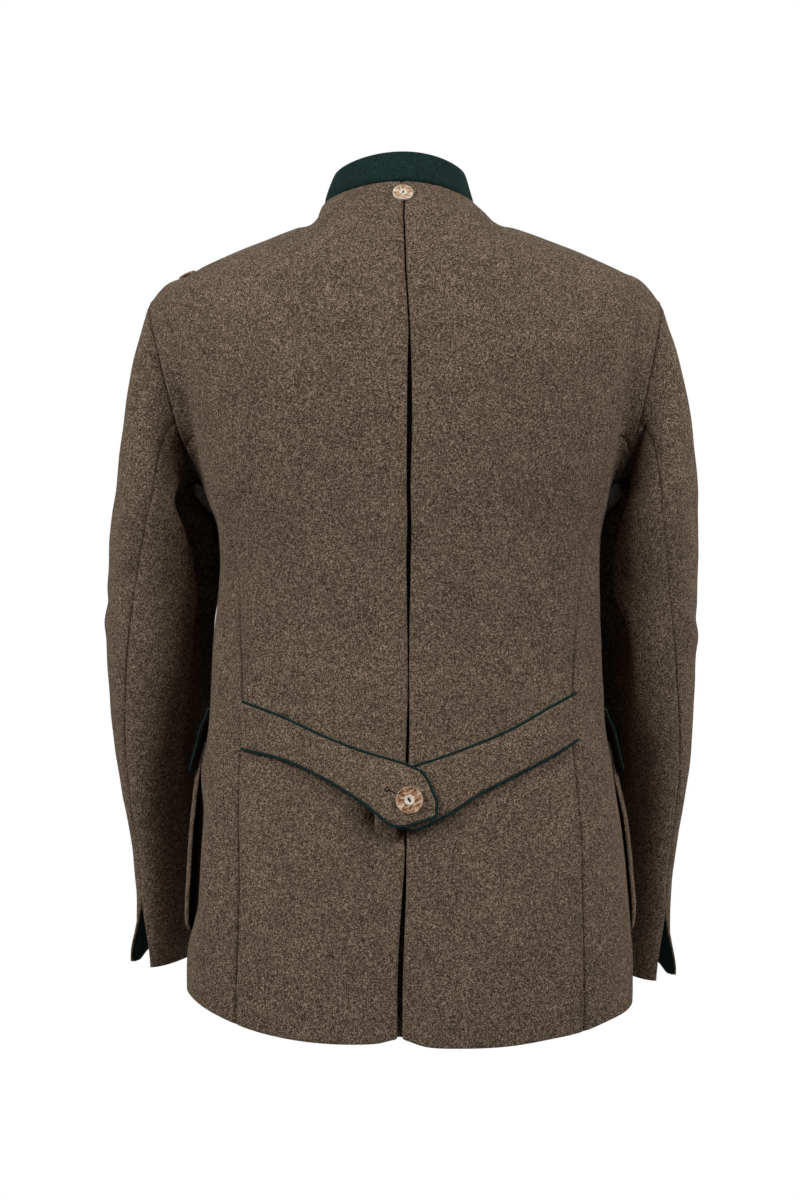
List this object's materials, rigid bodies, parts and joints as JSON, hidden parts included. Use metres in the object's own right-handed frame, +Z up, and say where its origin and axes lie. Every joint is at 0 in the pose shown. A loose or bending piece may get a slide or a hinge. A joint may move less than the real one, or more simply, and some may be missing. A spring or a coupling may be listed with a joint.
{
  "type": "tyrolean loden jacket",
  "caption": "Hip-length loden jacket in its worn hollow shape: green standing collar, inverted back pleat, buttoned half belt, vented sleeves, flapped patch pockets.",
  "frame": {"origin": "hang_point: between the shoulders, level with the points where the shoulder seams meet the collar", "axes": "+Z up from hem to collar, front towards -Y, +X towards the wearer's left"},
  "size_m": [0.5657, 0.2995, 0.8085],
  "materials": {
    "loden": "brushed brown-grey heather felted wool",
    "green_wool": "dark green felted wool",
    "antler": "polished mottled antler"
  },
  "bodies": {
    "root": {"back_left": "loden", "side_left": "loden", "front_left": "loden", "upper_sleeve_left": "loden", "under_sleeve_left": "loden", "cuff_facing_left": "green_wool", "pocket_left": "loden", "pocket_flap_left": "loden", "flap_piping_left": "green_wool", "belt_left": "loden", "belt_piping_left": "green_wool", "back_right": "loden", "side_right": "loden", "front_right": "loden", "upper_sleeve_right": "loden", "under_sleeve_right": "loden", "cuff_facing_right": "green_wool", "pocket_right": "loden", "pocket_flap_right": "loden", "flap_piping_right": "green_wool", "belt_right": "loden", "belt_piping_right": "green_wool", "pleat_underlay": "loden", "collar": "green_wool", "button_belt": "antler", "button_neck": "antler", "button_shoulder": "antler", "button_front_1": "antler", "button_front_2": "antler", "button_front_3": "antler", "button_front_4": "antler", "button_front_5": "antler"}
  },
  "joints": []
}
